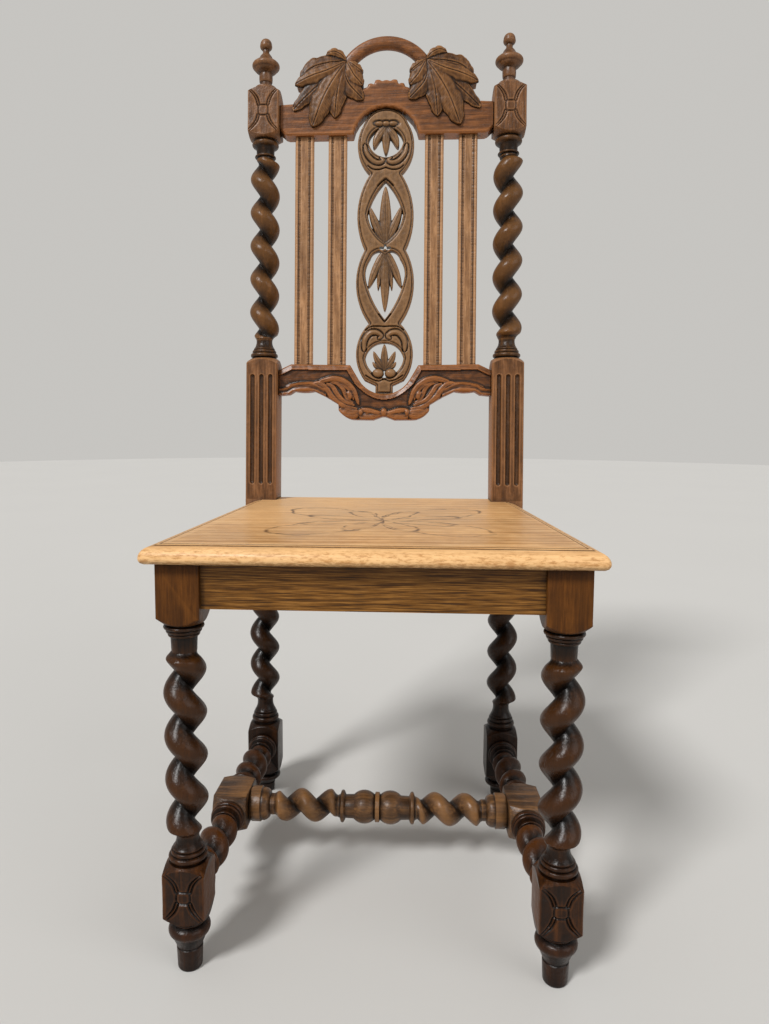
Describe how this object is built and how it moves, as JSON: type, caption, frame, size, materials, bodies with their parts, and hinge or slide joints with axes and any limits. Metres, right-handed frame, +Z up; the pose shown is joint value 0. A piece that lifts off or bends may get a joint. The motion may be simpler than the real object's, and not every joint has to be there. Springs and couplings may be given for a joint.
{
  "type": "wainscot chair",
  "caption": "High-backed oak side chair with barley-twist legs, posts and stretchers, a solid seat, a pierced carved splat between slats and a leaf-carved hoop on top.",
  "frame": {"origin": "on the floor, under the centre of the chair's bounding box", "axes": "+X to the right of someone facing the chair's front, +Y towards its back, +Z up"},
  "size_m": [0.464, 0.491, 1.1669],
  "materials": {
    "turned_oak": "waxed, dark in the hollows",
    "seat_oak": "waxed, worn light",
    "rail_oak": "waxed",
    "back_rail_oak": "waxed, warm",
    "carved_oak": "waxed, light on the raised edges",
    "golden_oak": "waxed",
    "plain_wood": "bare",
    "screw_steel": "dull"
  },
  "bodies": {
    "root": {"front_leg_left": "turned_oak", "front_leg_right": "turned_oak", "rear_post_left": "turned_oak", "rear_post_right": "turned_oak", "finial_left": "turned_oak", "finial_right": "turned_oak", "side_stretcher_left": "turned_oak", "side_stretcher_right": "turned_oak", "cross_stretcher": "turned_oak", "seat": "seat_oak", "front_rail": "rail_oak", "rear_rail": "rail_oak", "side_rail_left": "rail_oak", "side_rail_right": "rail_oak", "crest_rail": "back_rail_oak", "lower_back_rail": "back_rail_oak", "cresting": "carved_oak", "splat": "golden_oak", "slat_left_outer": "golden_oak", "slat_left_inner": "golden_oak", "slat_right_inner": "golden_oak", "slat_right_outer": "golden_oak", "corner_brace_front_left": "plain_wood", "corner_brace_front_right": "plain_wood", "corner_brace_rear_left": "plain_wood", "corner_brace_rear_right": "plain_wood", "cresting_dowels": "plain_wood", "seat_screws": "screw_steel"}
  },
  "joints": []
}
